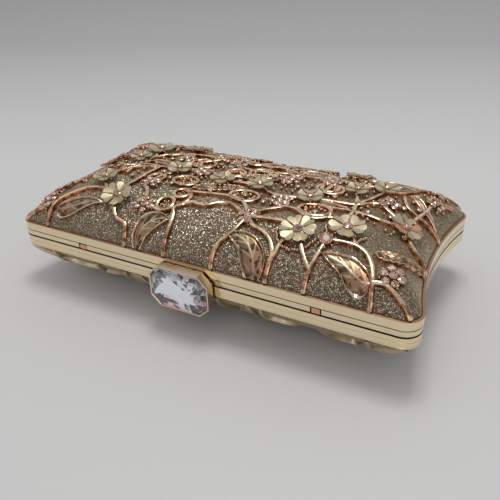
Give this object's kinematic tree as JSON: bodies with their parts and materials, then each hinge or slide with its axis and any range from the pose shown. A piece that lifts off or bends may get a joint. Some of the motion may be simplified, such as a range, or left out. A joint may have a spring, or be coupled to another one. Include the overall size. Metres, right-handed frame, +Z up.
{
  "type": "hinged evening clutch",
  "caption": "Hard evening clutch: hinged metal frame with domed glitter shells, cast floral openwork on both faces and a sprung crystal clasp.",
  "frame": {"origin": "middle of the plan, on the surface that the closed clutch rests on", "axes": "+X along the long edges, to the right as seen from the clasp; -Y towards the clasp's side; +Z up, from the lower shell to the upper shell"},
  "size_m": [0.2082, 0.1166, 0.0554],
  "materials": {
    "champagne_gold": "polished pale gold plating",
    "rose_gold": "polished rose gold plating",
    "glitter_fabric": "fine glitter over padding",
    "lining_satin": "satin weave",
    "pin_steel": "ground wire",
    "clear_crystal": "step cut and polished"
  },
  "bodies": {
    "base": {"lower_rim": "champagne_gold", "lower_shell": "glitter_fabric", "lower_lining": "lining_satin", "lower_openwork": "rose_gold", "guide_tab_left": "rose_gold", "guide_tab_right": "rose_gold", "lower_flower_near_c": "rose_gold", "lower_flower_near_e": "rose_gold", "lower_flower_near_f": "rose_gold", "lower_flower_far_c": "rose_gold", "lower_flower_far_e": "rose_gold", "lower_flower_far_f": "rose_gold", "lower_flower_centre": "rose_gold", "hinge_leaf_base_left": "champagne_gold", "hinge_leaf_base_right": "champagne_gold", "hinge_pin_left": "pin_steel", "hinge_pin_right": "pin_steel", "catch_plate": "champagne_gold"},
    "lid": {"upper_rim": "champagne_gold", "upper_shell": "glitter_fabric", "upper_lining": "lining_satin", "upper_openwork": "rose_gold", "upper_flower_near_a": "rose_gold", "upper_flower_near_b": "rose_gold", "upper_flower_near_c": "rose_gold", "upper_flower_near_d": "rose_gold", "upper_flower_near_e": "rose_gold", "upper_flower_near_f": "rose_gold", "upper_flower_far_a": "rose_gold", "upper_flower_far_b": "rose_gold", "upper_flower_far_c": "rose_gold", "upper_flower_far_d": "rose_gold", "upper_flower_far_e": "rose_gold", "upper_flower_far_f": "rose_gold", "upper_flower_near_g": "rose_gold", "upper_flower_far_g": "rose_gold", "upper_flower_top_left": "rose_gold", "upper_flower_top_right": "rose_gold", "hinge_leaf_lid_left": "champagne_gold", "hinge_leaf_lid_right": "champagne_gold", "clasp_bracket": "champagne_gold", "clasp_pin": "pin_steel"},
    "clasp": {"clasp_lever": "champagne_gold", "crystal_bezel": "champagne_gold", "clasp_crystal": "clear_crystal"}
  },
  "joints": [
    {"name": "lid_hinge", "type": "hinge", "parent": "base", "child": "lid", "pos_m": [0, 0.055, 0.0268], "axis": [-1, 0, 0], "range_deg": [0, 95]},
    {"name": "clasp_hinge", "type": "hinge", "parent": "lid", "child": "clasp", "pos_m": [-0.0025, -0.05465, 0.0311], "axis": [-1, 0, 0], "range_deg": [0, 22], "stiffness_Nm_per_rad": 0.05, "springref_deg": -11.46}
  ]
}
